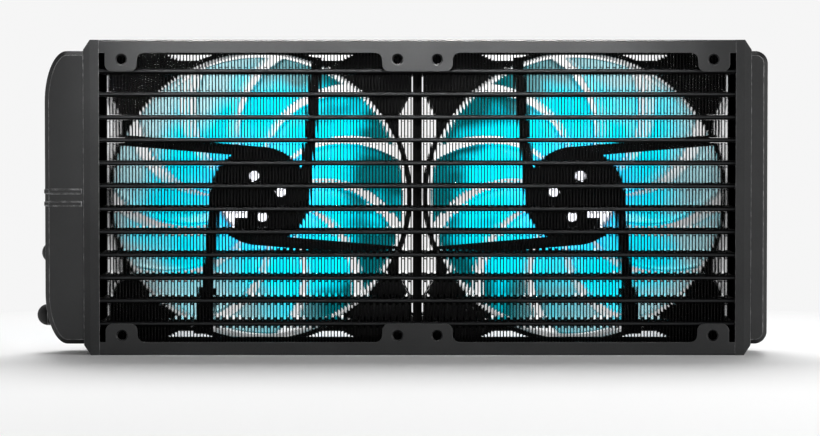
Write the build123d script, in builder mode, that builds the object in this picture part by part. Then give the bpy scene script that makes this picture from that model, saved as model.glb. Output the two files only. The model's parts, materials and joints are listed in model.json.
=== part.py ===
from build123d import *

import math
import os

# Liquid cooling radiator for two square fans: a brazed tube-and-fin core between an inlet tank
# and a return tank, two slotted side plates, and a lit fan behind each half of the core.
# Millimetres. X runs along the radiator, Y from the case side (front) to the fans (rear), Z up.
# The origin lies under the middle of the core, on the face that the radiator stands on.

# Overall sizes
fan_size = 120.0            # side of one square fan, and the height of the radiator
fan_depth = 25.0
core_depth = 27.0           # front flange to rear flange
end_margin = 1.0            # core beyond the fans at each end
hole_inset = 7.5            # screw hole to the fan's edge

# Fits
joined_gap = 0.02           # brazed, glued or pressed pieces
running_gap = 0.05          # shafts and plugs that move in their holes
screw_gap = 0.05            # screw shank to its thread's major diameter

# Side plates
plate_sheet = 1.0
flange_height = 5.0
tab_height = 12.0
end_tab_inner = 13.4        # end tab's inner side to the fan's outer edge
end_tab_outer = 1.3         # end tab's outer side to the fan's outer edge
middle_tab_half = 13.4
tab_corner = 2.7
tab_flat = 0.2              # least straight edge between a tab's two corners
bend_radius = 0.7
case_hole_radius = 1.75
case_hole_sink = 0.5

# Core
tube_count = 12
tube_thickness = 1.75
tube_wall = 0.25
tube_setback = 1.3          # flange face to tube nose
end_row_height = 10.03      # fins between an outer tube and a side plate
fin_pitch = 1.22            # leg to leg
fin_gauge = 0.16
fin_setback = 0.8           # tube nose to fin edge
fin_end_gap = 2.6           # last fin to the header
spacer_half = 1.7           # folded spacers between the two fin banks
spacer_sheet = 0.4
spacer_gap = 0.7            # first fin to the spacers
spacer_crease = 0.5

# Headers and tanks
header_band = 3.4
header_slope = 2.6
header_slope_height = 3.8
header_slope_depth = 0.6
header_plate = 2.0
tube_reach = 0.5            # tube end past the header plate
tank_step = 0.4             # header slope's edge to the tank's wall
tank_wall = 1.6
tank_bevel = 1.7
inlet_tank_length = 14.9
inlet_corner_length = 8.5
inlet_corner_height = 19.5
return_tank_length = 6.4
return_corner = 4.8
bead_height = 1.9
bead_proud = 0.35
bead_spacing = 4.7
bead_edge = 0.3             # chamfer along the bead
bead_end_gap = 0.8          # bead's end to the tank's foot
partition_sheet = 1.0

# Hose ports in the inlet tank's end
lower_port_height = 14.6
port_spacing = 24.0
port_radius = 4.1
port_bore = 2.3
port_proud = 0.4
port_inside = 3.4           # neck inside the tank's end face
plug_gap = 0.1
plug_stem = 4.0
upper_plug_head = 2.2
lower_plug_head = 4.1

# Fan frames
ring_inset = 2.1            # fan's side to the ring
lug_inset = 2.6             # fan's side to the side of its corner lugs
lug_corner_half = 48.5      # from the fan's middle line to the full-width corner
lug_corner_slope = 2.0
lug_half = 40.0             # from the middle line to the lug's inner shoulder
waist_inset = 7.2           # fan's side to the waist between the lugs
waist_half = 31.0
frame_corner = 6.0
ring_wall = 1.9
frame_plate = 4.0
post_radius = 4.3
fan_hole_radius = 2.2
strut_width = 4.2
strut_depth = 3.4
strut_tilt = 5.0            # degrees from square to its spoke
channel_width = 7.0
channel_start = 36.0        # from the fan's axis
channel_groove_width = 2.4
channel_groove_depth = 1.6
base_radius = 19.3
base_thickness = 2.8
base_hole_radius = 1.9
base_hole_circle = 8.2
base_hole_angles = (105.0, 11.0, -83.0)
cable_notch = (9.6, 7.4)    # width and height of the notch for the motor's leads
cable_notch_spot = (-14.3, -8.3)
notch_step = (5.0, 3.8)
notch_step_spot = (-7.4, -6.6)
bearing_tube_wall = 1.6

# Fan motors
shaft_radius = 1.5
bush_wall = 1.45
bush_length = 12.6
board_gap = 0.2             # frame to circuit board
board_thickness = 1.2
board_radius = 15.4
lamp_circle = 13.0
lamp_size = 2.6
lamp_height = 1.1
stator_radius = 13.5
stator_height = 8.0
stator_core_wall = 1.6
pole_neck_width = 3.0
pole_shoe_height = 1.5
pole_shoe_angle = 62.0      # degrees of each pole's face
coil_wall = 1.7
coil_gap = 0.25
coil_corner = 0.8
magnet_air_gap = 0.6
magnet_wall = 1.7
yoke_wall = 0.8
pole_count = 4
boss_end_gap = 1.0          # stator to the rotor's shaft boss
bush_end_gap = 0.6          # bush to the boss
clip_end_gap = 0.2          # clip to the bush
shaft_tail = 0.5            # shaft past its clip
clip_thickness = 0.4
clip_wall = 0.9
clip_groove = 0.3           # depth of the groove in the shaft
clip_slit = 0.6

# Rotors
rotor_front_gap = 0.6       # frame to rotor cup
rotor_rear_gap = 2.3        # rotor cup to the frame's rear face
cup_wall = 2.0
cup_radius = 19.0
cup_edge = 1.4
shaft_boss_wall = 1.9
shaft_boss_length = 3.0
blade_count = 11
tip_gap = 1.5               # blade tip to the frame's bore
blade_front_gap = 1.9       # strut to blade
blade_thickness = 1.5
blade_camber = 1.8
blade_root_sink = 1.0       # blade root inside the cup's wall
blade_share_root = 0.86     # share of the circle that the blades cover
blade_share_tip = 0.80
blade_sections = 4
blade_overrun = 1.2         # last section past the tip circle, trimmed off
blade_rise_root = 14.0
blade_rise_tip = 12.0
blade_sweep = -34.0         # degrees from root to tip
sweep_growth = 1.3          # power that makes the sweep grow outwards

# Fan screws
screw_head_radius = 3.2
screw_head_height = 2.2
screw_head_edge = 1.0
screw_reach = 0.7           # shank past the rear flange
recess_width = 0.9
recess_length = 3.6
recess_depth = 1.2

# Places worked out from the sizes above
core_height = fan_size
mid_height = core_height / 2
core_half = fan_size + end_margin
front_face = -core_depth / 2
rear_face = core_depth / 2
fan_centre = fan_size / 2
hole_offset = fan_size / 2 - hole_inset
header_length = header_band + header_slope
tank_foot = core_half + header_length
tank_half_height = mid_height - header_slope_height - tank_step
tank_half_depth = core_depth / 2 - header_slope_depth - tank_step / 2
inner_half_depth = tank_half_depth - tank_wall
inner_half_height = tank_half_height - tank_wall
tube_half_depth = core_depth / 2 - tube_setback
fin_half_depth = tube_half_depth - fin_setback
tube_stack = core_height - 2 * (plate_sheet + end_row_height) - tube_thickness
tube_pitch = tube_stack / (tube_count - 1)
tube_heights = [mid_height + (i - (tube_count - 1) / 2) * tube_pitch for i in range(tube_count)]
tank_end = tank_foot + inlet_tank_length
port_heights = {"upper": lower_port_height + port_spacing, "lower": lower_port_height}
port_face = tank_end + port_proud

fan_front = rear_face
fan_rear = rear_face + fan_depth
ring_radius = fan_size / 2 - ring_inset
bore_radius = ring_radius - ring_wall
strut_offset = base_radius - strut_width / 2
base_rear = fan_front + base_thickness
bush_radius = shaft_radius + running_gap + bush_wall
bearing_tube_bore = bush_radius + joined_gap
bearing_tube_radius = bearing_tube_bore + bearing_tube_wall
tip_radius = bore_radius - tip_gap
frame_inner = fan_front + max(base_thickness, strut_depth)
cup_front = frame_inner + rotor_front_gap
cup_rear = fan_rear - rotor_rear_gap
cup_bore = cup_radius - cup_wall
cup_floor = cup_rear - cup_wall
board_front = frame_inner + board_gap
board_rear = board_front + board_thickness
yoke_radius = cup_bore - joined_gap
magnet_radius = yoke_radius - yoke_wall - joined_gap
magnet_bore = magnet_radius - magnet_wall
pole_radius = min(stator_radius, magnet_bore - magnet_air_gap)
boss_front = cup_floor - shaft_boss_length
stator_rear = boss_front - boss_end_gap
stator_front = stator_rear - stator_height
bush_rear = boss_front - bush_end_gap
bush_front = bush_rear - bush_length
clip_rear = bush_front - clip_end_gap
shaft_front = clip_rear - clip_thickness - shaft_tail
shaft_rear = cup_floor + cup_wall / 2


def upright(y):
    """Plane across the radiator at this depth, with X to the right and Z up."""
    return Plane.XZ.offset(-y)


def fan_plane(y):
    """The same plane with its origin on the left fan's axis."""
    return Plane(origin=(-fan_centre, y, mid_height), x_dir=(1, 0, 0), z_dir=(0, -1, 0))


def save(piece, name):
    """Labels a finished piece and writes its STEP file."""
    piece.label = name
    export_step(piece, f"parts/{name}.step", write_pcurves=False)


def mirrored(piece):
    """The same piece for the right half."""
    with BuildPart() as twin:
        mirror(piece, about=Plane.YZ)
    return twin.part


# ---------------------------------------------------------------- radiator core


def flange_outline():
    """Long flange of the lower side plate, with a tab at each screw hole."""
    end_tab = fan_size - (end_tab_inner + end_tab_outer) / 2
    end_width = end_tab_inner - end_tab_outer
    tab_spots = [(-end_tab, end_width), (0, 2 * middle_tab_half), (end_tab, end_width)]
    with BuildSketch() as flange:
        with Locations((0, flange_height / 2)):
            Rectangle(2 * core_half, flange_height)
        for x, width in tab_spots:
            with Locations((x, tab_height / 2)):
                Rectangle(width, tab_height)
        free = flange.vertices().group_by(Axis.Y)[-1]
        roots = flange.vertices().filter_by(lambda v: abs(v.Y - flange_height) < 0.01)
        inner = roots.filter_by(lambda v: abs(v.X) < end_tab)
        fillet(free + inner, radius=min(tab_corner, (tab_height - flange_height - tab_flat) / 2))
    return flange.sketch


def side_plate():
    """Lower side plate: a channel whose front tabs take case screws and rear tabs take fan screws."""
    hole_spots = [(s * fan_centre + t * hole_offset, hole_inset) for s in (-1, 1) for t in (-1, 1)]
    with BuildPart() as plate:
        with BuildSketch(Plane.XY):
            Rectangle(2 * core_half, core_depth)
        extrude(amount=plate_sheet)
        for y in (rear_face, front_face + plate_sheet):
            with BuildSketch(upright(y)):
                add(flange_outline())
            extrude(amount=plate_sheet)
        corners = plate.edges().filter_by(Axis.X).group_by(Axis.Z)[0]
        fillet(corners, radius=bend_radius)
        with BuildSketch(upright(rear_face)):
            with Locations(*hole_spots):
                Circle(case_hole_radius)
        extrude(amount=core_depth, mode=Mode.SUBTRACT)
        rims = plate.edges().filter_by(GeomType.CIRCLE).group_by(Axis.Y)[0]
        rims = rims.filter_by(lambda e: abs(e.radius - case_hole_radius) < 0.01)
        chamfer(rims, length=case_hole_sink)
    return plate.part


def upper_side_plate(lower):
    """Upper side plate, the lower one turned over."""
    with BuildPart() as plate:
        mirror(lower, about=Plane.XY.offset(mid_height))
    return plate.part


def flat_tubes():
    """Flat tubes that carry the coolant from tank to tank."""
    reach = core_half + header_plate + tube_reach
    with BuildPart() as tubes:
        with BuildSketch(Plane.YZ.offset(-reach)):
            with Locations(*[(0, z) for z in tube_heights]):
                SlotOverall(2 * tube_half_depth, tube_thickness)
                bore_height = tube_thickness - 2 * tube_wall
                SlotOverall(2 * (tube_half_depth - tube_wall), bore_height, mode=Mode.SUBTRACT)
        extrude(amount=2 * reach)
    return tubes.part


def row_limits():
    """Lowest and highest point of each row between tubes, and between the outer tubes and the plates."""
    lows = [plate_sheet] + [z + tube_thickness / 2 for z in tube_heights]
    highs = [z - tube_thickness / 2 for z in tube_heights] + [core_height - plate_sheet]
    return list(zip(lows, highs))


def fin_outline(start, low, high):
    """Points round one folded fin strip, up and down from leg to leg."""
    folds = int(((core_half - fin_end_gap - start) / fin_pitch + 1) / 2)
    half = fin_gauge / 2
    foot = low + fin_gauge
    crest = high - fin_gauge
    upper = []
    lower = []
    for i in range(folds):
        up = start + 2 * i * fin_pitch
        down = up + fin_pitch
        upper += [(up - half, foot), (up - half, high), (down + half, high), (down + half, foot)]
        lower += [(up + half, low), (up + half, crest), (down - half, crest), (down - half, low)]
    upper[0] = (upper[0][0], low)
    upper[-1] = (upper[-1][0], low)
    return upper + lower[::-1]


def right_fins():
    """Folded fin strips of the right half, one in each row."""
    start = spacer_half + spacer_gap
    with BuildPart() as fins:
        for low, high in row_limits():
            with BuildSketch(upright(fin_half_depth)):
                with BuildLine():
                    Polyline(*fin_outline(start, low, high), close=True)
                make_face()
            extrude(amount=2 * fin_half_depth)
    return fins.part


def middle_spacers():
    """Folded spacers between the two fin banks, one in each row, creased down the front."""
    front = -fin_half_depth
    inner_front = front + 2 * spacer_sheet
    inner_half = spacer_half - spacer_sheet
    with BuildPart() as spacers:
        for low, high in row_limits():
            with BuildSketch(Plane.XY.offset(low)):
                with BuildLine():
                    Polyline(
                        (-spacer_half, fin_half_depth),
                        (-spacer_half, front),
                        (0, front + spacer_crease),
                        (spacer_half, front),
                        (spacer_half, fin_half_depth),
                        (inner_half, fin_half_depth),
                        (inner_half, inner_front),
                        (0, inner_front + spacer_crease),
                        (-inner_half, inner_front),
                        (-inner_half, fin_half_depth),
                        close=True,
                    )
                make_face()
            extrude(amount=high - low)
    return spacers.part


# ---------------------------------------------------------------- headers and tanks


def right_header():
    """Header plate with a raised rim: the tubes end in it and the tank is joined to it."""
    with BuildPart() as header:
        with BuildSketch(Plane.YZ.offset(core_half)):
            with Locations((0, mid_height)):
                Rectangle(core_depth, core_height)
        extrude(amount=header_band)
        for x, inset_y, inset_z in ((0, 0, 0), (header_slope, header_slope_depth, header_slope_height)):
            with BuildSketch(Plane.YZ.offset(core_half + header_band + x)):
                with Locations((0, mid_height)):
                    Rectangle(core_depth - 2 * inset_y, core_height - 2 * inset_z)
        loft()
        with BuildSketch(Plane.YZ.offset(core_half + header_plate)):
            with Locations((0, mid_height)):
                Rectangle(2 * inner_half_depth, 2 * inner_half_height)
        extrude(amount=header_length, mode=Mode.SUBTRACT)
        with BuildSketch(Plane.YZ.offset(core_half)):
            with Locations(*[(0, z) for z in tube_heights]):
                SlotOverall(2 * (tube_half_depth + joined_gap), tube_thickness + 2 * joined_gap)
        extrude(amount=header_plate + 2 * tube_reach, mode=Mode.SUBTRACT)
    return header.part


def tank_outline(length, half_height, corner_length, corner_height):
    """Face of a tank seen from the front, with its free corners rounded as quarter ellipses."""
    top = mid_height + half_height
    low = mid_height - half_height
    bend = tank_foot + length - corner_length
    with BuildSketch() as outline:
        with BuildLine():
            Line((tank_foot, low), (bend, low))
            arc = (corner_length, corner_height)
            EllipticalCenterArc((bend, low + corner_height), *arc, start_angle=-90, arc_size=90)
            Line((bend + corner_length, low + corner_height), (bend + corner_length, top - corner_height))
            EllipticalCenterArc((bend, top - corner_height), *arc, start_angle=0, arc_size=90)
            Line((bend, top), (tank_foot, top))
            Line((tank_foot, top), (tank_foot, low))
        make_face()
    return outline.sketch


def tank_shell(length, corner_length, corner_height):
    """Closed tank with an open foot, on the right of the core."""
    with BuildPart() as tank:
        with BuildSketch(upright(tank_half_depth)):
            add(tank_outline(length, tank_half_height, corner_length, corner_height))
        extrude(amount=2 * tank_half_depth)
        rims = tank.edges().group_by(Axis.Y)[0] + tank.edges().group_by(Axis.Y)[-1]
        rims = rims.filter_by(lambda e: e.center().X > tank_foot + 0.01)
        chamfer(rims, length=tank_bevel)
        with BuildSketch(upright(inner_half_depth)):
            cavity_corner = (corner_length - tank_wall, corner_height - tank_wall)
            add(tank_outline(length - tank_wall, inner_half_height, *cavity_corner))
        extrude(amount=2 * inner_half_depth, mode=Mode.SUBTRACT)
    return tank.part


def bead_loop(height):
    """Raised bead across the front, end and rear of the inlet tank, before its turn to the left."""
    reach = tank_foot + bead_end_gap
    deep = tank_half_depth
    end = tank_end
    with BuildPart() as bead:
        with BuildSketch(Plane.XY.offset(height - bead_height / 2)):
            with BuildLine():
                Polyline(
                    (reach, -deep - bead_proud),
                    (end - tank_bevel, -deep - bead_proud),
                    (end + bead_proud, -deep + tank_bevel),
                    (end + bead_proud, deep - tank_bevel),
                    (end - tank_bevel, deep + bead_proud),
                    (reach, deep + bead_proud),
                    close=True,
                )
            make_face()
        extrude(amount=bead_height)
        outer = bead.edges().filter_by(Plane.XY).filter_by(lambda e: e.center().X > reach + 0.01)
        chamfer(outer, length=min(bead_edge, bead_proud / 2 + bead_height / 8))
        with BuildSketch(Plane.XY.offset(height - bead_height)):
            with BuildLine():
                Polyline(
                    (tank_foot, -inner_half_depth),
                    (end - tank_wall, -inner_half_depth),
                    (end - tank_wall, inner_half_depth),
                    (tank_foot, inner_half_depth),
                    close=True,
                )
            make_face()
        extrude(amount=2 * bead_height, mode=Mode.SUBTRACT)
    return bead.part


def inlet_tank():
    """Left tank, with two hose ports in its end and two beads round its middle."""
    shell = tank_shell(inlet_tank_length, inlet_corner_length, inlet_corner_height)
    beads = [bead_loop(mid_height + shift) for shift in (-bead_spacing / 2, bead_spacing / 2)]
    with BuildPart() as tank:
        add([shell, *beads])
        with BuildSketch(Plane.YZ.offset(tank_end - inlet_corner_length)):
            with Locations(*[(0, z) for z in port_heights.values()]):
                Circle(port_radius + joined_gap)
        extrude(amount=inlet_corner_length + 1, mode=Mode.SUBTRACT)
    return mirrored(tank.part)


def tank_partition():
    """Stepped sheet that keeps the inlet flow from the outlet flow inside the left tank."""
    inner = core_half + header_plate
    bend = tank_foot + (inlet_tank_length - tank_wall) / 2
    end = tank_end - tank_wall
    low = (port_heights["upper"] + port_heights["lower"]) / 2
    half = partition_sheet / 2
    with BuildPart() as partition:
        with BuildSketch(upright(inner_half_depth)):
            with BuildLine():
                Polyline(
                    (inner, mid_height + half),
                    (bend + half, mid_height + half),
                    (bend + half, low + half),
                    (end, low + half),
                    (end, low - half),
                    (bend - half, low - half),
                    (bend - half, mid_height - half),
                    (inner, mid_height - half),
                    close=True,
                )
            make_face()
        extrude(amount=2 * inner_half_depth)
    return mirrored(partition.part)


def port_neck(height):
    """Short neck brazed into the inlet tank's end."""
    with BuildPart() as neck:
        with BuildSketch(Plane.YZ.offset(tank_end - port_inside)):
            with Locations((0, height)):
                Circle(port_radius)
                Circle(port_bore, mode=Mode.SUBTRACT)
        extrude(amount=port_inside + port_proud)
    return mirrored(neck.part)


def port_plug(height, head):
    """Rubber plug with a domed head and a stem that fills the neck's bore."""
    foot = port_face + plug_gap
    crown = foot + head
    dome_centre = crown - port_radius
    base = math.sqrt(max(port_radius**2 - (foot - dome_centre) ** 2, 0))
    halfway = math.radians(45) if head >= port_radius else math.atan2(base, foot - dome_centre) / 2
    midpoint = (dome_centre + port_radius * math.cos(halfway), port_radius * math.sin(halfway))
    stem = port_bore - running_gap
    with BuildPart() as plug:
        with BuildSketch(Plane(origin=(0, 0, height), x_dir=(1, 0, 0), z_dir=(0, -1, 0))):
            with BuildLine():
                Line((crown, 0), (foot - plug_stem, 0))
                Line((foot - plug_stem, 0), (foot - plug_stem, stem))
                Line((foot - plug_stem, stem), (foot, stem))
                Line((foot, stem), (foot, base))
                ThreePointArc((foot, base), midpoint, (crown, 0))
            make_face()
        revolve(axis=Axis((0, 0, height), (1, 0, 0)))
    return mirrored(plug.part)


# ---------------------------------------------------------------- fan frames


def waist_cut():
    """What is cut from the frame's right side, between its two corner lugs."""
    side = fan_size / 2
    half = [
        (side, lug_corner_half),
        (side - lug_inset, lug_corner_half - lug_corner_slope),
        (side - lug_inset, lug_half),
        (side - waist_inset, waist_half),
    ]
    with BuildSketch() as cut:
        with BuildLine():
            Polyline(*half, *[(x, -y) for x, y in half[::-1]], close=True)
        make_face()
    return cut.sketch


def frame_outline():
    """Flange with a lug at each corner and a waist along each side, opened for the rotor."""
    cut = waist_cut()
    with BuildSketch() as outline:
        RectangleRounded(fan_size, fan_size, frame_corner)
        with PolarLocations(0, 4):
            add(cut, mode=Mode.SUBTRACT)
        Circle(ring_radius)
        Circle(bore_radius, mode=Mode.SUBTRACT)
    return outline.sketch


def strut_length():
    """From the foot of a strut, beside the hub, to the middle of the ring's wall."""
    return math.sqrt((ring_radius - ring_wall / 2) ** 2 - strut_offset**2)


def left_fan_frame():
    """Moulded frame: ring, two waisted flanges, screw posts, four leaning struts and the motor base."""
    corner_spots = [(s * hole_offset, t * hole_offset) for s in (-1, 1) for t in (-1, 1)]
    length = strut_length()
    with BuildPart() as frame:
        for y in (fan_front + frame_plate, fan_rear):
            with BuildSketch(fan_plane(y)):
                add(frame_outline())
            extrude(amount=frame_plate)
        with BuildSketch(fan_plane(fan_rear)):
            Circle(ring_radius)
            Circle(bore_radius, mode=Mode.SUBTRACT)
            with Locations(*corner_spots):
                Circle(post_radius)
        extrude(amount=fan_depth)
        with BuildSketch(fan_plane(fan_front + strut_depth)):
            with Locations(*[Location((0, 0, 0), (0, 0, 90 * k)) for k in range(4)]):
                with Locations(Location((strut_offset, 0, 0), (0, 0, -strut_tilt))):
                    with Locations((0, length / 2)):
                        Rectangle(strut_width, length)
        extrude(amount=strut_depth)
        with BuildSketch(fan_plane(fan_front + strut_depth)):
            with Locations(Location((0, 0, 0), (0, 0, 180))):
                with Locations(Location((strut_offset, 0, 0), (0, 0, -strut_tilt))):
                    with Locations((0, (length + channel_start) / 2)):
                        Rectangle(channel_width, length - channel_start)
        extrude(amount=strut_depth)
        with BuildSketch(fan_plane(fan_front + channel_groove_depth)):
            with Locations(Location((0, 0, 0), (0, 0, 180))):
                with Locations(Location((strut_offset, 0, 0), (0, 0, -strut_tilt))):
                    with Locations((0, (length + channel_start) / 2)):
                        Rectangle(channel_groove_width, length - channel_start)
        extrude(amount=channel_groove_depth, mode=Mode.SUBTRACT)
        with BuildSketch(fan_plane(base_rear)):
            Circle(base_radius)
        extrude(amount=base_thickness)
        with BuildSketch(fan_plane(bush_rear)):
            Circle(bearing_tube_radius)
        extrude(amount=bush_rear - fan_front)
        with BuildSketch(fan_plane(bush_rear)):
            Circle(bearing_tube_bore)
        extrude(amount=bush_rear - fan_front - base_thickness / 2, mode=Mode.SUBTRACT)
        with BuildSketch(fan_plane(base_rear)):
            for angle in base_hole_angles:
                with PolarLocations(base_hole_circle, 1, start_angle=angle):
                    Circle(base_hole_radius)
            with Locations(cable_notch_spot):
                Rectangle(*cable_notch)
            with Locations(notch_step_spot):
                Rectangle(*notch_step)
        extrude(amount=base_thickness, mode=Mode.SUBTRACT)
        with BuildSketch(fan_plane(fan_rear)):
            with Locations(*corner_spots):
                Circle(fan_hole_radius)
        extrude(amount=fan_depth, mode=Mode.SUBTRACT)
    return frame.part


def left_fan_bush():
    """Sleeve bearing pressed into the frame's bearing tube."""
    with BuildPart() as bush:
        with BuildSketch(fan_plane(bush_rear)):
            Circle(bush_radius)
            Circle(shaft_radius + running_gap, mode=Mode.SUBTRACT)
        extrude(amount=bush_length)
    return bush.part


# ---------------------------------------------------------------- fan motors


def left_fan_board():
    """Round circuit board between the hub base and the stator."""
    with BuildPart() as board:
        with BuildSketch(fan_plane(board_rear)):
            Circle(board_radius)
            Circle(bearing_tube_radius + joined_gap, mode=Mode.SUBTRACT)
        extrude(amount=board_thickness)
    return board.part


def left_fan_lamps():
    """Small square lamps on the circuit board that light the rotor from inside."""
    with BuildPart() as lamps:
        with BuildSketch(fan_plane(board_rear + lamp_height)):
            with PolarLocations(lamp_circle, 4, start_angle=45):
                Rectangle(lamp_size, lamp_size)
        extrude(amount=lamp_height)
    return lamps.part


def left_fan_stator():
    """Laminated core with four poles on the outside of the bearing tube."""
    bore = bearing_tube_radius + joined_gap
    shoe_bore = pole_radius - pole_shoe_height
    with BuildPart() as stator:
        with BuildSketch(fan_plane(stator_rear)):
            with PolarLocations(0, pole_count, start_angle=45):
                with Locations((pole_radius / 2, 0)):
                    Rectangle(pole_radius - pole_shoe_height / 2, pole_neck_width)
            Circle(bore + stator_core_wall)
            Circle(bore, mode=Mode.SUBTRACT)
        extrude(amount=stator_height)
        with BuildSketch(fan_plane(stator_rear)):
            for k in range(pole_count):
                with BuildLine():
                    middle = 45 + k * 360 / pole_count
                    half = pole_shoe_angle / 2
                    outer = CenterArc((0, 0), pole_radius, middle - half, pole_shoe_angle)
                    inner = CenterArc((0, 0), shoe_bore, middle - half, pole_shoe_angle)
                    Line(outer @ 0, inner @ 0)
                    Line(outer @ 1, inner @ 1)
                make_face()
        extrude(amount=stator_height)
    return stator.part


def left_fan_coils():
    """Copper coils, one round each pole's neck."""
    outer = pole_neck_width / 2 + coil_wall
    start = bearing_tube_radius + stator_core_wall + coil_gap
    end = math.sqrt((pole_radius - pole_shoe_height) ** 2 - outer**2) - coil_gap
    middle = (stator_front + stator_rear) / 2
    with BuildPart() as coils:
        for k in range(pole_count):
            angle = math.radians(45 + k * 360 / pole_count)
            spoke = (math.cos(angle), 0, math.sin(angle))
            centre = (-fan_centre + start * spoke[0], middle, mid_height + start * spoke[2])
            with BuildSketch(Plane(origin=centre, x_dir=(0, 1, 0), z_dir=spoke)):
                RectangleRounded(stator_height + coil_wall, 2 * outer, coil_corner)
                neck = (stator_height + 2 * joined_gap, pole_neck_width + 2 * joined_gap)
                Rectangle(*neck, mode=Mode.SUBTRACT)
            extrude(amount=end - start)
    return coils.part


def left_fan_magnet():
    """Magnet ring inside the yoke, round the stator's poles."""
    with BuildPart() as magnet:
        with BuildSketch(fan_plane(stator_rear)):
            Circle(magnet_radius)
            Circle(magnet_bore, mode=Mode.SUBTRACT)
        extrude(amount=stator_height)
    return magnet.part


def left_fan_yoke():
    """Steel cup behind the magnet, closed but for the shaft's boss."""
    with BuildPart() as yoke:
        with BuildSketch(fan_plane(cup_floor)):
            Circle(yoke_radius)
            Circle(yoke_radius - yoke_wall, mode=Mode.SUBTRACT)
        extrude(amount=cup_floor - stator_front)
        with BuildSketch(fan_plane(cup_floor)):
            Circle(yoke_radius)
            Circle(shaft_radius + shaft_boss_wall + joined_gap, mode=Mode.SUBTRACT)
        extrude(amount=yoke_wall)
    return yoke.part


def left_fan_shaft():
    """Shaft fixed in the rotor, with a groove for its retaining clip."""
    with BuildPart() as shaft:
        with BuildSketch(fan_plane(shaft_rear)):
            Circle(shaft_radius)
        extrude(amount=shaft_rear - shaft_front)
        with BuildSketch(fan_plane(clip_rear)):
            Circle(shaft_radius)
            Circle(shaft_radius - clip_groove, mode=Mode.SUBTRACT)
        extrude(amount=clip_thickness, mode=Mode.SUBTRACT)
    return shaft.part


def left_fan_clip():
    """Split washer in the shaft's groove, which keeps the rotor on."""
    inner = shaft_radius - clip_groove + joined_gap
    with BuildPart() as clip:
        with BuildSketch(fan_plane(clip_rear)):
            Circle(inner + clip_wall)
            Circle(inner, mode=Mode.SUBTRACT)
            with Locations((inner + clip_wall, 0)):
                Rectangle(4 * clip_wall, clip_slit, mode=Mode.SUBTRACT)
        extrude(amount=clip_thickness - joined_gap)
    return clip.part


# ---------------------------------------------------------------- fan rotors


def fan_blade():
    """One swept and twisted blade, from inside the cup's wall to the tip circle."""
    front = fan_front + strut_depth + blade_front_gap
    middle = front + blade_rise_root / 2
    root = cup_radius - blade_root_sink
    past = tip_radius + blade_overrun
    with BuildPart() as blade:
        for step in range(blade_sections):
            share = step / (blade_sections - 1)
            radius = root + share * (past - root)
            cover = blade_share_root + share * (blade_share_tip - blade_share_root)
            half_width = cover * math.pi * radius / blade_count
            half_rise = (blade_rise_root + share * (blade_rise_tip - blade_rise_root)) / 2
            angle = math.radians(blade_sweep * share**sweep_growth)
            spoke = (math.cos(angle), 0, math.sin(angle))
            tangent = (-math.sin(angle), 0, math.cos(angle))
            centre = (-fan_centre + radius * spoke[0], middle, mid_height + radius * spoke[2])
            chord = math.hypot(half_width, half_rise)
            normal = (-half_rise / chord, half_width / chord)
            inside = -blade_camber - blade_thickness / 2
            outside = -blade_camber + blade_thickness / 2
            with BuildSketch(Plane(origin=centre, x_dir=tangent, z_dir=spoke)):
                with BuildLine():
                    lead = (-half_width, -half_rise)
                    trail = (half_width, half_rise)
                    ThreePointArc(lead, (normal[0] * inside, normal[1] * inside), trail)
                    ThreePointArc(trail, (normal[0] * outside, normal[1] * outside), lead)
                make_face()
        loft()
        with BuildSketch(fan_plane(fan_rear)):
            Circle(tip_radius)
            Circle(root, mode=Mode.SUBTRACT)
        extrude(amount=fan_depth, mode=Mode.INTERSECT)
    return blade.part


def left_fan_rotor():
    """Translucent rotor: a cup over the motor, with its boss for the shaft, and the blades."""
    axis = Axis((-fan_centre, 0, mid_height), (0, 1, 0))
    blade = fan_blade()
    with BuildPart() as rotor:
        with BuildSketch(fan_plane(cup_rear)):
            Circle(cup_radius)
        extrude(amount=cup_rear - cup_front)
        fillet(rotor.edges().filter_by(GeomType.CIRCLE).group_by(Axis.Y)[-1], radius=cup_edge)
        for k in range(blade_count):
            add(blade.rotate(axis, k * 360 / blade_count))
        with BuildSketch(fan_plane(cup_floor)):
            Circle(cup_bore)
        extrude(amount=cup_floor - fan_front, mode=Mode.SUBTRACT)
        with BuildSketch(fan_plane(cup_floor)):
            Circle(shaft_radius + shaft_boss_wall)
        extrude(amount=shaft_boss_length)
        with BuildSketch(fan_plane(shaft_rear)):
            Circle(shaft_radius + joined_gap)
        extrude(amount=shaft_rear - boss_front, mode=Mode.SUBTRACT)
    return rotor.part


def left_fan_screws():
    """Four long pan-head screws through the frame's corners into the core's rear flanges."""
    corner_spots = [(s * hole_offset, t * hole_offset) for s in (-1, 1) for t in (-1, 1)]
    tip = rear_face - plate_sheet - screw_reach
    with BuildPart() as screws:
        with BuildSketch(fan_plane(fan_rear + screw_head_height)):
            with Locations(*corner_spots):
                Circle(screw_head_radius)
        extrude(amount=screw_head_height)
        fillet(screws.edges().filter_by(GeomType.CIRCLE).group_by(Axis.Y)[-1], radius=screw_head_edge)
        with BuildSketch(fan_plane(fan_rear)):
            with Locations(*corner_spots):
                Circle(case_hole_radius - screw_gap)
        extrude(amount=fan_rear - tip)
        with BuildSketch(fan_plane(fan_rear + screw_head_height)):
            with Locations(*corner_spots):
                Rectangle(recess_length, recess_width)
                Rectangle(recess_width, recess_length)
        extrude(amount=recess_depth, mode=Mode.SUBTRACT)
    return screws.part


# ---------------------------------------------------------------- the whole radiator

os.makedirs("parts", exist_ok=True)

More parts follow.
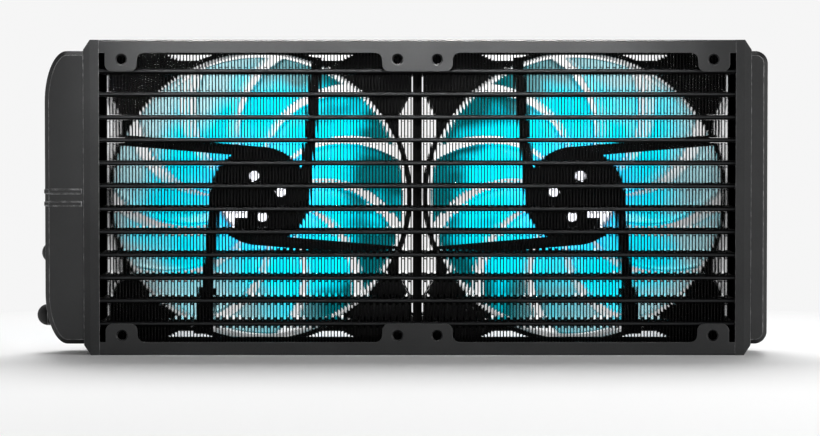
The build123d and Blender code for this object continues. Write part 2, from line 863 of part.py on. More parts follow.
bottom_plate = side_plate()
save(bottom_plate, "bottom_side_plate")
save(upper_side_plate(bottom_plate), "top_side_plate")
save(flat_tubes(), "flat_tubes")
fins = right_fins()
save(fins, "right_fins")
save(mirrored(fins), "left_fins")
save(middle_spacers(), "middle_spacers")
header = right_header()
save(header, "right_header")
save(mirrored(header), "left_header")
save(inlet_tank(), "inlet_tank")
save(tank_shell(return_tank_length, return_corner, return_corner), "return_tank")
save(tank_partition(), "tank_partition")
for place, plug_head in (("upper", upper_plug_head), ("lower", lower_plug_head)):
    save(port_neck(port_heights[place]), f"{place}_port_neck")
    save(port_plug(port_heights[place], plug_head), f"{place}_port_plug")

fan_pieces = {
    "fan_frame": left_fan_frame(),
    "fan_bush": left_fan_bush(),
    "fan_board": left_fan_board(),
    "fan_lamps": left_fan_lamps(),
    "fan_stator": left_fan_stator(),
    "fan_coils": left_fan_coils(),
    "fan_magnet": left_fan_magnet(),
    "fan_yoke": left_fan_yoke(),
    "fan_shaft": left_fan_shaft(),
    "fan_clip": left_fan_clip(),
    "fan_rotor": left_fan_rotor(),
    "fan_screws": left_fan_screws(),
}
for name, piece in fan_pieces.items():
    twin = mirrored(piece)
    save(piece, f"left_{name}")
    save(twin, f"right_{name}")
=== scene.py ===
"""Looks of a liquid cooling radiator: a black finned core with two lit fans behind it."""

import json
import logging
import math
from collections.abc import Callable
from dataclasses import dataclass, field
from enum import Enum

import bpy
from mathutils import Matrix, Vector


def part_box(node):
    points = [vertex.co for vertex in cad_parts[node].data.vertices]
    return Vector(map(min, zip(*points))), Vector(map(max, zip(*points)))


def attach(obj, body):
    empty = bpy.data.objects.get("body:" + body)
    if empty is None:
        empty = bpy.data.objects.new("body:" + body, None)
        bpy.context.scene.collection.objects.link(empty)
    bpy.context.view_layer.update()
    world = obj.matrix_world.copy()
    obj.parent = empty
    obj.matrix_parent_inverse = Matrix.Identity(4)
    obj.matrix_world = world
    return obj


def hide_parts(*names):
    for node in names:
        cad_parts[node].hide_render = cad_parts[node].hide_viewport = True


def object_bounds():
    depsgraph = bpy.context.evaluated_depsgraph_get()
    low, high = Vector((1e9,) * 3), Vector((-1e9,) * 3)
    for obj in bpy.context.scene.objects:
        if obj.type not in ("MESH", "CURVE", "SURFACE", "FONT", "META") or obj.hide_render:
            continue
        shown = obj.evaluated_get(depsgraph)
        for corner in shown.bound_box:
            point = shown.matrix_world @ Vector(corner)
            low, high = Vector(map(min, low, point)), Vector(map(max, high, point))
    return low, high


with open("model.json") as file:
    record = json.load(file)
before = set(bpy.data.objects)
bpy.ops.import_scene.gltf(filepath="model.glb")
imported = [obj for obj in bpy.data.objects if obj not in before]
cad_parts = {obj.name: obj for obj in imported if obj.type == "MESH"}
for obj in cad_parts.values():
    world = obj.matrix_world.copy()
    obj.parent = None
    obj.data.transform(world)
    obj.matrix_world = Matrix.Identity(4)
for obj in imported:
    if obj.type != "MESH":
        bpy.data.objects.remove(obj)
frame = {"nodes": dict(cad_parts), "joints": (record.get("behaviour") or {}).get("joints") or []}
CAD_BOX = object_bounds()
LOG = logging.getLogger("radiator")
Point = tuple[float, float, float]
Colour = tuple[float, float, float]
MM = 0.001
WELD = 0.002 * MM  # points closer than this are one point
FACING = 0.9  # a normal with this share along an axis faces along it


class Side(Enum):
    """The two halves of the radiator, each with the sign of its X."""

    LEFT = -1
    RIGHT = 1

    @property
    def word(self) -> str:
        """Name of the half, as the CAD nodes spell it."""
        return self.name.lower()


# ---------------------------------------------------------------- shader nodes


class Bench:
    """Adds shader nodes to one new material and links them."""

    TO_FRONT = (0.7, 0.96)  # square of the normal's Y, from turned away to facing forwards or back
    TO_FLAT = (0.9, 0.992)  # cosine between the rounded and the true normal, from sharp edge to flat face

    def __init__(self, name: str) -> None:
        """Starts a material with a Principled shader.

        Args:
            name: name of the material.
        """
        self.material = bpy.data.materials.new(name)
        self.material.use_nodes = True
        self.tree = self.material.node_tree
        self.tree.nodes.clear()
        self.output = self.add("ShaderNodeOutputMaterial")
        self.shader = self.add("ShaderNodeBsdfPrincipled")
        self.join(self.shader.outputs[0], self.output.inputs["Surface"])

    def add(self, kind: str, **settings: object) -> bpy.types.Node:
        """Adds one node.

        Args:
            kind: the node's type name.
            settings: values of the node's own properties.

        Returns:
            The new node.
        """
        node = self.tree.nodes.new(kind)
        for key, value in settings.items():
            setattr(node, key, value)
        return node

    def join(self, source: bpy.types.NodeSocket, target: bpy.types.NodeSocket) -> None:
        """Links an output to an input."""
        self.tree.links.new(source, target)

    def set(self, **values: object) -> None:
        """Sets sockets of the Principled shader; an underscore stands for a space."""
        for key, value in values.items():
            self.shader.inputs[key.replace("_", " ")].default_value = value

    def place(self, centre: Point = (0, 0, 0), stretch: Point = (1, 1, 1)) -> bpy.types.NodeSocket:
        """Object coordinates about a centre.

        Args:
            centre: point that becomes the origin.
            stretch: scale along each axis.

        Returns:
            The vector socket.
        """
        spot = self.add("ShaderNodeTexCoord")
        mapping = self.add("ShaderNodeMapping")
        mapping.inputs["Location"].default_value = [-c * s for c, s in zip(centre, stretch)]
        mapping.inputs["Scale"].default_value = stretch
        self.join(spot.outputs["Object"], mapping.inputs["Vector"])
        return mapping.outputs["Vector"]

    def noise(self, spot: bpy.types.NodeSocket, size: float, detail: float = 2.0) -> bpy.types.NodeSocket:
        """Smooth random pattern.

        Args:
            spot: coordinates to read.
            size: size of one blotch, in metres.
            detail: octaves of finer pattern.

        Returns:
            The factor socket.
        """
        node = self.add("ShaderNodeTexNoise")
        node.inputs["Scale"].default_value = 1 / size
        node.inputs["Detail"].default_value = detail
        self.join(spot, node.inputs["Vector"])
        return node.outputs["Fac"]

    def ramp(self, value: bpy.types.NodeSocket, stops: list[tuple[float, Colour]]) -> bpy.types.NodeSocket:
        """Colour ramp.

        Args:
            value: factor to read.
            stops: positions and their colours.

        Returns:
            The colour socket.
        """
        node = self.add("ShaderNodeValToRGB")
        band = node.color_ramp.elements
        while len(band) < len(stops):
            band.new(0.5)
        for stop, (position, colour) in zip(band, stops):
            stop.position = position
            stop.color = (*colour, 1)
        self.join(value, node.inputs["Fac"])
        return node.outputs["Color"]

    def level(self, value: bpy.types.NodeSocket, low: float, high: float,
              start: float = 0.0, end: float = 1.0) -> bpy.types.NodeSocket:
        """Maps start to end on to low to high.

        Args:
            value: number to read.
            low: result at start.
            high: result at end.
            start: input that gives low.
            end: input that gives high.

        Returns:
            The result socket.
        """
        node = self.add("ShaderNodeMapRange")
        node.inputs["From Min"].default_value = start
        node.inputs["From Max"].default_value = end
        node.inputs["To Min"].default_value = low
        node.inputs["To Max"].default_value = high
        self.join(value, node.inputs["Value"])
        return node.outputs["Result"]

    def blend(self, share: bpy.types.NodeSocket, first: object, second: object) -> bpy.types.NodeSocket:
        """Mixes two colours, each a socket or a colour.

        Args:
            share: factor, 0 for the first and 1 for the second.
            first: colour at 0.
            second: colour at 1.

        Returns:
            The colour socket.
        """
        node = self.add("ShaderNodeMix", data_type="RGBA")
        self.join(share, node.inputs["Factor"])
        for name, colour in (("A", first), ("B", second)):
            socket = [s for s in node.inputs if s.name == name and s.type == "RGBA"][0]
            if isinstance(colour, bpy.types.NodeSocket):
                self.join(colour, socket)
            else:
                socket.default_value = (*colour, 1)
        return [s for s in node.outputs if s.type == "RGBA"][0]

    def sum(self, first: bpy.types.NodeSocket, second: object, kind: str = "ADD") -> bpy.types.NodeSocket:
        """One arithmetic step.

        Args:
            first: number to read.
            second: another socket, or a fixed number.
            kind: name of the step; a sum unless another is given.

        Returns:
            The result socket.
        """
        node = self.add("ShaderNodeMath", operation=kind)
        self.join(first, node.inputs[0])
        if isinstance(second, bpy.types.NodeSocket):
            self.join(second, node.inputs[1])
        else:
            node.inputs[1].default_value = second
        return node.outputs[0]

    def rounded(self, radius: float) -> bpy.types.NodeSocket:
        """Normal of the surface with its edges rounded by this radius."""
        node = self.add("ShaderNodeBevel", samples=4)
        node.inputs["Radius"].default_value = radius
        return node.outputs["Normal"]

    def away(self, share: float) -> bpy.types.NodeSocket:
        """Mask that is 0 on faces that look forwards or back and the given share on all others.

        Args:
            share: value of the mask on the other faces.

        Returns:
            The factor socket.
        """
        geometry = self.add("ShaderNodeNewGeometry")
        split = self.add("ShaderNodeSeparateXYZ")
        self.join(geometry.outputs["Normal"], split.inputs[0])
        square = self.sum(split.outputs["Y"], split.outputs["Y"], "MULTIPLY")
        return self.level(square, share, 0, *self.TO_FRONT)

    def edge(self, radius: float) -> bpy.types.NodeSocket:
        """Mask that is 1 on sharp edges and 0 on flat faces.

        Args:
            radius: reach of the mask to each side of an edge.

        Returns:
            The factor socket.
        """
        geometry = self.add("ShaderNodeNewGeometry")
        dot = self.add("ShaderNodeVectorMath", operation="DOT_PRODUCT")
        self.join(self.rounded(radius), dot.inputs[0])
        self.join(geometry.outputs["Normal"], dot.inputs[1])
        return self.level(dot.outputs["Value"], 1, 0, *self.TO_FLAT)

    def bump(self, height: bpy.types.NodeSocket, depth: float,
             normal: bpy.types.NodeSocket | None = None) -> None:
        """Raises the surface by a pattern.

        Args:
            height: pattern from 0 to 1.
            depth: height of the pattern, in metres.
            normal: rounded normal to start from.
        """
        node = self.add("ShaderNodeBump")
        node.inputs["Distance"].default_value = depth
        self.join(height, node.inputs["Height"])
        if normal is not None:
            self.join(normal, node.inputs["Normal"])
        self.join(node.outputs["Normal"], self.shader.inputs["Normal"])


# ---------------------------------------------------------------- finishes


@dataclass(frozen=True)
class Coat:
    """Painted, moulded or burnished finish with a fine grain and lightened edges, which are wear on some
    finishes and a painted highlight on others, and, where a share is given, painted shade on faces that look
    sideways, up or down.
    """

    name: str
    colour: Colour
    # edge colour: wear, and on some finishes a painted highlight
    worn: Colour
    roughness: float = 0.42
    grain: float = 0.35 * MM
    grain_depth: float = 0.012 * MM
    cloud: float = 18 * MM
    scuff: float = 2.2 * MM
    edge_radius: float = 0.35 * MM
    metallic: float = 0.0
    tone: float = 0.18
    specular: float = 0.5
    # share of painted shade on faces that don't look forwards or back
    shade_away: float = 0.0
    # colour of the painted shade
    shade: Colour = (0.001, 0.001, 0.001)

    def build(self) -> bpy.types.Material:
        """Makes the material."""
        bench = Bench(self.name)
        spot = bench.place()
        cloud = bench.noise(spot, self.cloud, 3)
        grain = bench.noise(spot, self.grain, 3)
        dark = tuple(c * (1 - self.tone) for c in self.colour)
        light = tuple(c * (1 + self.tone) for c in self.colour)
        mean = bench.sum(bench.sum(cloud, grain), 0.5, "MULTIPLY")
        tone = bench.ramp(mean, [(0.3, dark), (0.7, light)])
        scuff = bench.level(bench.noise(spot, self.scuff, 4), 0, 1, 0.42, 0.62)
        # edge mask broken by scuffs: wear on some finishes, a painted highlight along the edges on others
        wear_and_highlight_mask = bench.sum(bench.edge(self.edge_radius), bench.level(scuff, 0.25, 0.8), "MULTIPLY")
        # painted shade: faces that look sideways, up or down are darkened towards the shade colour
        if self.shade_away:
            tone = bench.blend(bench.away(self.shade_away), tone, self.shade)
        bench.join(bench.blend(wear_and_highlight_mask, tone, self.worn), bench.shader.inputs["Base Color"])
        rough = bench.level(cloud, self.roughness - 0.05, self.roughness + 0.06, 0.3, 0.7)
        rough = bench.sum(rough, bench.level(wear_and_highlight_mask, 0, 0.1), "SUBTRACT")
        bench.join(rough, bench.shader.inputs["Roughness"])
        bench.bump(grain, self.grain_depth, bench.rounded(self.edge_radius))
        bench.set(Metallic=self.metallic, Specular_IOR_Level=self.specular)
        return bench.material


@dataclass(frozen=True)
class NoseCoat:
    """Black coat on a thin rounded edge, with a painted highlight along the line that sticks out most and
    painted shade on the faces above and below it.
    """

    name: str
    colour: Colour
    # colour of the painted highlight along the crown
    rubbed: Colour
    roughness: float = 0.6
    specular: float = 0.02
    patch: float = 1.2 * MM
    patch_depth: float = 0.008 * MM
    along: Point = (0.15, 1.0, 1.0)

    def build(self) -> bpy.types.Material:
        """Makes the material."""
        bench = Bench(self.name)
        patch = bench.noise(bench.place(stretch=self.along), self.patch, 3)
        faint = tuple(c * 0.7 for c in self.rubbed)
        rubbed = bench.ramp(patch, [(0.3, faint), (0.7, self.rubbed)])
        # painted highlight on the crown, which faces forwards or back; painted shade, the near-black colour,
        # on the faces above and below it
        bench.join(bench.blend(bench.away(1.0), rubbed, self.colour), bench.shader.inputs["Base Color"])
        rough = bench.level(patch, self.roughness - 0.08, self.roughness + 0.08)
        bench.join(rough, bench.shader.inputs["Roughness"])
        bench.bump(patch, self.patch_depth)
        bench.set(Specular_IOR_Level=self.specular)
        return bench.material


@dataclass(frozen=True)
class Turned:
    """Bare metal or wire with fine lines round or along it."""

    name: str
    colour: Colour
    roughness: float = 0.3
    stretch: Point = (1.0, 1.0, 20.0)
    line: float = 0.4 * MM
    line_depth: float = 0.01 * MM
    cloud: float = 6 * MM
    edge_radius: float = 0.1 * MM

    def build(self) -> bpy.types.Material:
        """Makes the material."""
        bench = Bench(self.name)
        lines = bench.noise(bench.place(stretch=self.stretch), self.line * max(self.stretch) / 4, 4)
        cloud = bench.noise(bench.place(), self.cloud, 3)
        dark = tuple(c * 0.7 for c in self.colour)
        mean = bench.sum(bench.sum(cloud, lines), 0.5, "MULTIPLY")
        tone = bench.ramp(mean, [(0.3, dark), (0.7, self.colour)])
        bench.join(tone, bench.shader.inputs["Base Color"])
        rough = bench.level(lines, self.roughness - 0.1, self.roughness + 0.15)
        bench.join(rough, bench.shader.inputs["Roughness"])
        bench.bump(lines, self.line_depth, bench.rounded(self.edge_radius))
        bench.set(Metallic=1.0)
        return bench.material


@dataclass(frozen=True)
class LitPlastic:
    """Translucent moulded plastic with a painted glow that stands in for the lamps' light carried outwards
    from the hub.

    Its tips are painted pale on the fan's outward side as painted light and deep teal on the inward side as
    painted shade, and its rims are darkened with painted shade.
    """

    name: str
    centre: Point
    inward: int
    hub_radius: float
    tip_radius: float
    tint: Colour = (0.0, 0.80, 0.95)
    # pale tip colour on the outward side: painted light
    clear: Colour = (0.62, 0.95, 1.0)
    cap_glow: Colour = (0.0, 0.06, 0.20)
    hub_glow: Colour = (0.07, 0.46, 0.9)
    middle_glow: Colour = (0.0, 0.60, 0.76)
    tip_glow: Colour = (0.06, 0.13, 0.14)
    # deep teal tip colour and glow on the inward side: painted shade
    deep_tint: Colour = (0.0, 0.14, 0.16)
    deep_glow: Colour = (0.0, 0.035, 0.04)
    # dark rim colour and glow: painted shade
    rim_tint: Colour = (0.0, 0.12, 0.14)
    rim_glow: Colour = (0.0, 0.05, 0.06)
    glow: float = 0.62
    transmission: float = 0.88
    refraction: float = 1.25
    cloud: float = 24 * MM
    flow: float = 1.6 * MM
    flow_depth: float = 0.02 * MM
    rim: float = 0.9 * MM
    tip_span: tuple[float, float] = (0.45, 0.85)
    lean_span: tuple[float, float] = (-22 * MM, 26 * MM)

    def build(self) -> bpy.types.Material:
        """Makes the material."""
        bench = Bench(self.name)
        length = bench.add("ShaderNodeVectorMath", operation="LENGTH")
        bench.join(bench.place(self.centre, (1, 0, 1)), length.inputs[0])
        share = bench.level(length.outputs["Value"], 0, 1, self.hub_radius, self.tip_radius)
        cloud = bench.noise(bench.place(self.centre), self.cloud, 2)
        shifted = bench.sum(share, bench.level(cloud, -0.32, 0.32, 0.3, 0.7))
        outer = bench.level(shifted, 0, 1, *self.tip_span)
        split = bench.add("ShaderNodeSeparateXYZ")
        bench.join(bench.place(self.centre, (self.inward, 1, 1)), split.inputs[0])
        # painted light and shade by side of the fan: pale tips outwards, deep teal tips inwards
        inward_shade = bench.level(split.outputs["X"], 0, 1, *self.lean_span)
        inner = bench.level(length.outputs["Value"], 0, 1, 0, self.tip_radius)
        # painted glow that stands in for the lamps' light: dark at the cap, brightest between hub and middle
        deep = bench.ramp(inner, [(0.05, self.cap_glow), (0.33, self.hub_glow), (0.52, self.middle_glow)])
        # painted shade along the blades' rims
        rim = bench.edge(self.rim)
        glow = bench.blend(outer, deep, bench.blend(inward_shade, self.tip_glow, self.deep_glow))
        bench.join(bench.blend(rim, glow, self.rim_glow), bench.shader.inputs["Emission Color"])
        body = bench.blend(outer, self.tint, bench.blend(inward_shade, self.clear, self.deep_tint))
        bench.join(bench.blend(rim, body, self.rim_tint), bench.shader.inputs["Base Color"])
        flow = bench.noise(bench.place(), self.flow, 3)
        bench.join(bench.level(flow, 0.06, 0.2, 0.3, 0.7), bench.shader.inputs["Roughness"])
        bench.bump(flow, self.flow_depth)
        bench.set(Transmission_Weight=self.transmission, IOR=self.refraction, Emission_Strength=self.glow)
        return bench.material


@dataclass(frozen=True)
class Glow:
    """Pale surface that gives off light, brighter in soft patches: the lamp lenses' own light, and on the
    board a painted glow that stands in for the lamps' light on it.
    """

    name: str
    colour: Colour
    strength: float
    patch: float = 2.5 * MM
    patch_depth: float = 0.01 * MM

    def build(self) -> bpy.types.Material:
        """Makes the material."""
        bench = Bench(self.name)
        patch = bench.noise(bench.place(), self.patch, 3)
        dim = tuple(c * 0.75 for c in self.colour)
        tone = bench.ramp(patch, [(0.35, dim), (0.65, self.colour)])
        bench.join(tone, bench.shader.inputs["Base Color"])
        bench.join(tone, bench.shader.inputs["Emission Color"])
        bench.join(bench.level(patch, 0.2, 0.4), bench.shader.inputs["Roughness"])
        bench.bump(patch, self.patch_depth)
        bench.set(Emission_Strength=self.strength)
        return bench.material


# ---------------------------------------------------------------- working with operators


def let_go() -> None:
    """Deselects every object."""
    bpy.ops.object.select_all(action="DESELECT")


def take(*pieces: bpy.types.Object) -> None:
    """Selects these objects only, and makes the first the active one."""
    let_go()
    for piece in pieces:
        piece.select_set(True)
    bpy.context.view_layer.objects.active = pieces[0]


def fresh(name: str) -> bpy.types.Object:
    """Names the primitive that was just added.

    Args:
        name: name of the object and its mesh.

    Returns:
        The object.
    """
    piece = bpy.context.active_object
    piece.name = name
    piece.data.name = name
    return piece


def edit() -> None:
    """Enters edit mode."""
    bpy.ops.object.mode_set(mode="EDIT")


def leave() -> None:
    """Leaves edit mode."""
    bpy.ops.object.mode_set(mode="OBJECT")


def pick(piece: bpy.types.Object, kind: str, test: Callable[[object], bool]) -> None:
    """Selects the elements of a mesh that pass a test, and stays in edit mode.

    Args:
        piece: mesh object in edit mode.
        kind: VERT, EDGE or FACE.
        test: says of a vertex, an edge or a polygon whether it is selected.
    """
    bpy.ops.mesh.select_mode(type=kind)
    bpy.ops.mesh.select_all(action="DESELECT")
    leave()
    mesh = piece.data
    group = {"VERT": mesh.vertices, "EDGE": mesh.edges, "FACE": mesh.polygons}[kind]
    for element in group:
        element.select = bool(test(element))
    edit()


def apply_all(piece: bpy.types.Object) -> None:
    """Applies every modifier, in order."""
    take(piece)
    for modifier in list(piece.modifiers):
        bpy.ops.object.modifier_apply(modifier=modifier.name)


def close_up(piece: bpy.types.Object, angle: float = 35.0) -> None:
    """Merges doubled points, turns the faces outwards and smooths gentle edges.

    Args:
        piece: mesh object.
        angle: edges sharper than this stay sharp, in degrees.
    """
    take(piece)
    edit()
    bpy.ops.mesh.select_all(action="SELECT")
    bpy.ops.mesh.remove_doubles(threshold=WELD)
    bpy.ops.mesh.normals_make_consistent(inside=False)
    leave()
    bpy.ops.object.shade_smooth_by_angle(angle=math.radians(angle))


def repeat(piece: bpy.types.Object, step: float, count: int, merge: float = 0.0) -> None:
    """Repeats a piece along X.

    Args:
        piece: mesh object.
        step: distance from one copy to the next.
        count: number of copies, with the first.
        merge: distance within which neighbouring copies share their points, or 0 for none.
    """
    array = piece.modifiers.new("repeat", "ARRAY")
    array.use_relative_offset = False
    array.use_constant_offset = True
    array.constant_offset_displace = (step, 0, 0)
    array.count = count
    if merge:
        array.use_merge_vertices = True
        array.merge_threshold = merge
    apply_all(piece)


def joined(name: str, pieces: list[bpy.types.Object]) -> bpy.types.Object:
    """Joins several objects into one.

    Args:
        name: name of the result.
        pieces: objects to join.

    Returns:
        The joined object.
    """
    take(*pieces)
    if len(pieces) > 1:
        bpy.ops.object.join()
    return fresh(name)


def twin(piece: bpy.types.Object, name: str) -> bpy.types.Object:
    """Copies an object with its own mesh.

    Args:
        piece: object to copy.
        name: name of the copy.

    Returns:
        The copy.
    """
    copy = piece.copy()
    copy.data = piece.data.copy()
    bpy.context.scene.collection.objects.link(copy)
    copy.name = name
    copy.data.name = name
    return copy


def dress(piece: bpy.types.Object, material: bpy.types.Material) -> None:
    """Puts one material in every slot of an object."""
    if not piece.material_slots:
        piece.data.materials.append(material)
    for slot in piece.material_slots:
        slot.material = material


# ---------------------------------------------------------------- finned core


@dataclass
class FinBank:
    """Folded fin strips of one half, with round crests and a thick slab inside every leg."""

    side: Side
    tube_count: int = 12
    tube_thickness: float = 1.75 * MM
    pitch: float = 1.22 * MM
    gauge: float = 0.16 * MM
    crest: float = 0.32 * MM
    leg: float = 0.46 * MM
    leg_margin: float = 0.12 * MM
    crest_steps: int = 2
    merge: float = 0.01 * MM

    def rows(self) -> list[tuple[float, float]]:
        """Lowest and highest point of each row between two tubes or a tube and a plate."""
        fins_low, fins_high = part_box(f"{self.side.word}_fins")
        tubes_low, tubes_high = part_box("flat_tubes")
        step = (tubes_high[2] - tubes_low[2] - self.tube_thickness) / (self.tube_count - 1)
        undersides = [tubes_low[2] + i * step for i in range(self.tube_count)]
        lows = [fins_low[2]] + [z + self.tube_thickness for z in undersides]
        return list(zip(lows, undersides + [fins_high[2]]))

    def fold(self, height: float) -> bpy.types.Object:
        """One up-and-down fold as a bare sheet, from X = 0 to two pitches, standing on Z = 0.

        Args:
            height: height of the row.

        Returns:
            The open sheet.
        """
        low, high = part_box(f"{self.side.word}_fins")
        depth = high[1] - low[1]
        half = self.gauge / 2
        flat = self.pitch - 2 * self.crest
        let_go()
        bpy.ops.mesh.primitive_plane_add(size=depth, location=(depth / 2, (low[1] + high[1]) / 2, height / 2))
        sheet = fresh("fold")
        edit()
        pick(sheet, "VERT", lambda v: v.co.x > 0)
        bpy.ops.mesh.delete(type="VERT")
        bpy.ops.mesh.select_all(action="SELECT")
        leave()
        bpy.ops.object.transform_apply(location=True, rotation=True, scale=True)
        edit()
        bpy.ops.mesh.select_all(action="SELECT")
        x = 0.0
        for up in (1, -1):
            level = height - half - self.crest if up > 0 else half + self.crest
            rise = level - height / 2
            self.pull((0, 0, rise))
            self.turn((x + self.crest, 0, level), up)
            self.pull((flat, 0, 0))
            self.turn((x + self.pitch - self.crest, 0, level), up)
            self.pull((0, 0, -rise))
            x += self.pitch
        leave()
        return sheet

    def trim(self, strip: bpy.types.Object, height: float, folds: int) -> None:
        """Takes the first leg down to the foot and ends the strip in a small hook after its last leg.

        Args:
            strip: the sheet of a full row.
            height: height of the row.
            folds: number of folds in the row.
        """
        last = (2 * folds - 1) * self.pitch
        take(strip)
        edit()
        pick(strip, "VERT", lambda v: v.co.x > last + self.crest + self.gauge)
        bpy.ops.mesh.delete(type="VERT")
        pick(strip, "VERT", lambda v: v.co.x < self.gauge and abs(v.co.z - height / 2) < self.gauge)
        self.pull((0, 0, self.gauge - height / 2))
        leave()

    @staticmethod
    def pull(move: Point) -> None:
        """Extrudes the selected edge straight."""
        bpy.ops.mesh.extrude_region_move(TRANSFORM_OT_translate={"value": move})

    def turn(self, centre: Point, up: int) -> None:
        """Extrudes the selected edge round a quarter of a crest."""
        bpy.ops.mesh.spin(steps=self.crest_steps, angle=math.pi / 2, center=centre, axis=(0, up, 0))

    def strip(self, height: float, folds: int) -> bpy.types.Object:
        """A full row of folds with the sheet's gauge.

        Args:
            height: height of the row.
            folds: number of folds in the row.

        Returns:
            The strip.
        """
        strip = self.fold(height)
        repeat(strip, 2 * self.pitch, folds, self.merge)
        self.trim(strip, height, folds)
        wall = strip.modifiers.new("gauge", "SOLIDIFY")
        wall.thickness = self.gauge
        wall.offset = 0
        apply_all(strip)
        return strip

    def legs(self, height: float, folds: int) -> bpy.types.Object:
        """A plain slab inside every leg of a row, as thick as the leg with its louvres.

        Args:
            height: height of the row.
            folds: number of folds in the row.

        Returns:
            The slabs.
        """
        low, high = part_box(f"{self.side.word}_fins")
        size = Vector((self.leg, high[1] - low[1] - self.gauge, height - 2 * self.leg_margin))
        let_go()
        bpy.ops.mesh.primitive_cube_add(size=1, location=(0, (low[1] + high[1]) / 2, height / 2), scale=size)
        legs = fresh("legs")
        bpy.ops.object.transform_apply(location=True, rotation=True, scale=True)
        repeat(legs, self.pitch, 2 * folds)
        return legs

    def build(self, wall: bpy.types.Material, rim: bpy.types.Material) -> bpy.types.Object:
        """Builds the bank and puts it in place of its CAD node.

        Args:
            wall: finish of the fins' sides.
            rim: finish of the fins' front and rear edges.

        Returns:
            The finished bank.
        """
        low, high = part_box(f"{self.side.word}_fins")
        folds = round(((high[0] - low[0]) / self.pitch + 1) / 2)
        start = low[0] + self.gauge / 2 if self.side is Side.RIGHT else high[0] - self.gauge / 2
        patterns: dict[float, bpy.types.Object] = {}
        strips = []
        for bottom, top in self.rows():
            height = round(top - bottom, 6)
            if height not in patterns:
                patterns[height] = joined("row", [self.strip(height, folds), self.legs(height, folds)])
            row = twin(patterns[height], "row")
            row.data.transform(Matrix.Translation((0, 0, bottom)))
            strips.append(row)
        for pattern in patterns.values():
            bpy.data.objects.remove(pattern)
        bank = joined(f"{self.side.word}_fin_bank", strips)
        bank.data.transform(Matrix.Translation((start, 0, 0)) @ Matrix.Diagonal((self.side.value, 1, 1, 1)))
        close_up(bank)
        bank.data.materials.append(wall)
        bank.data.materials.append(rim)
        for face in bank.data.polygons:
            face.material_index = 1 if abs(face.normal.y) > FACING else 0
        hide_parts(f"{self.side.word}_fins")
        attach(bank, "radiator")
        LOG.info("%s: %d folds in %d rows", bank.name, folds, len(strips))
        return bank


# ---------------------------------------------------------------- lit rotors


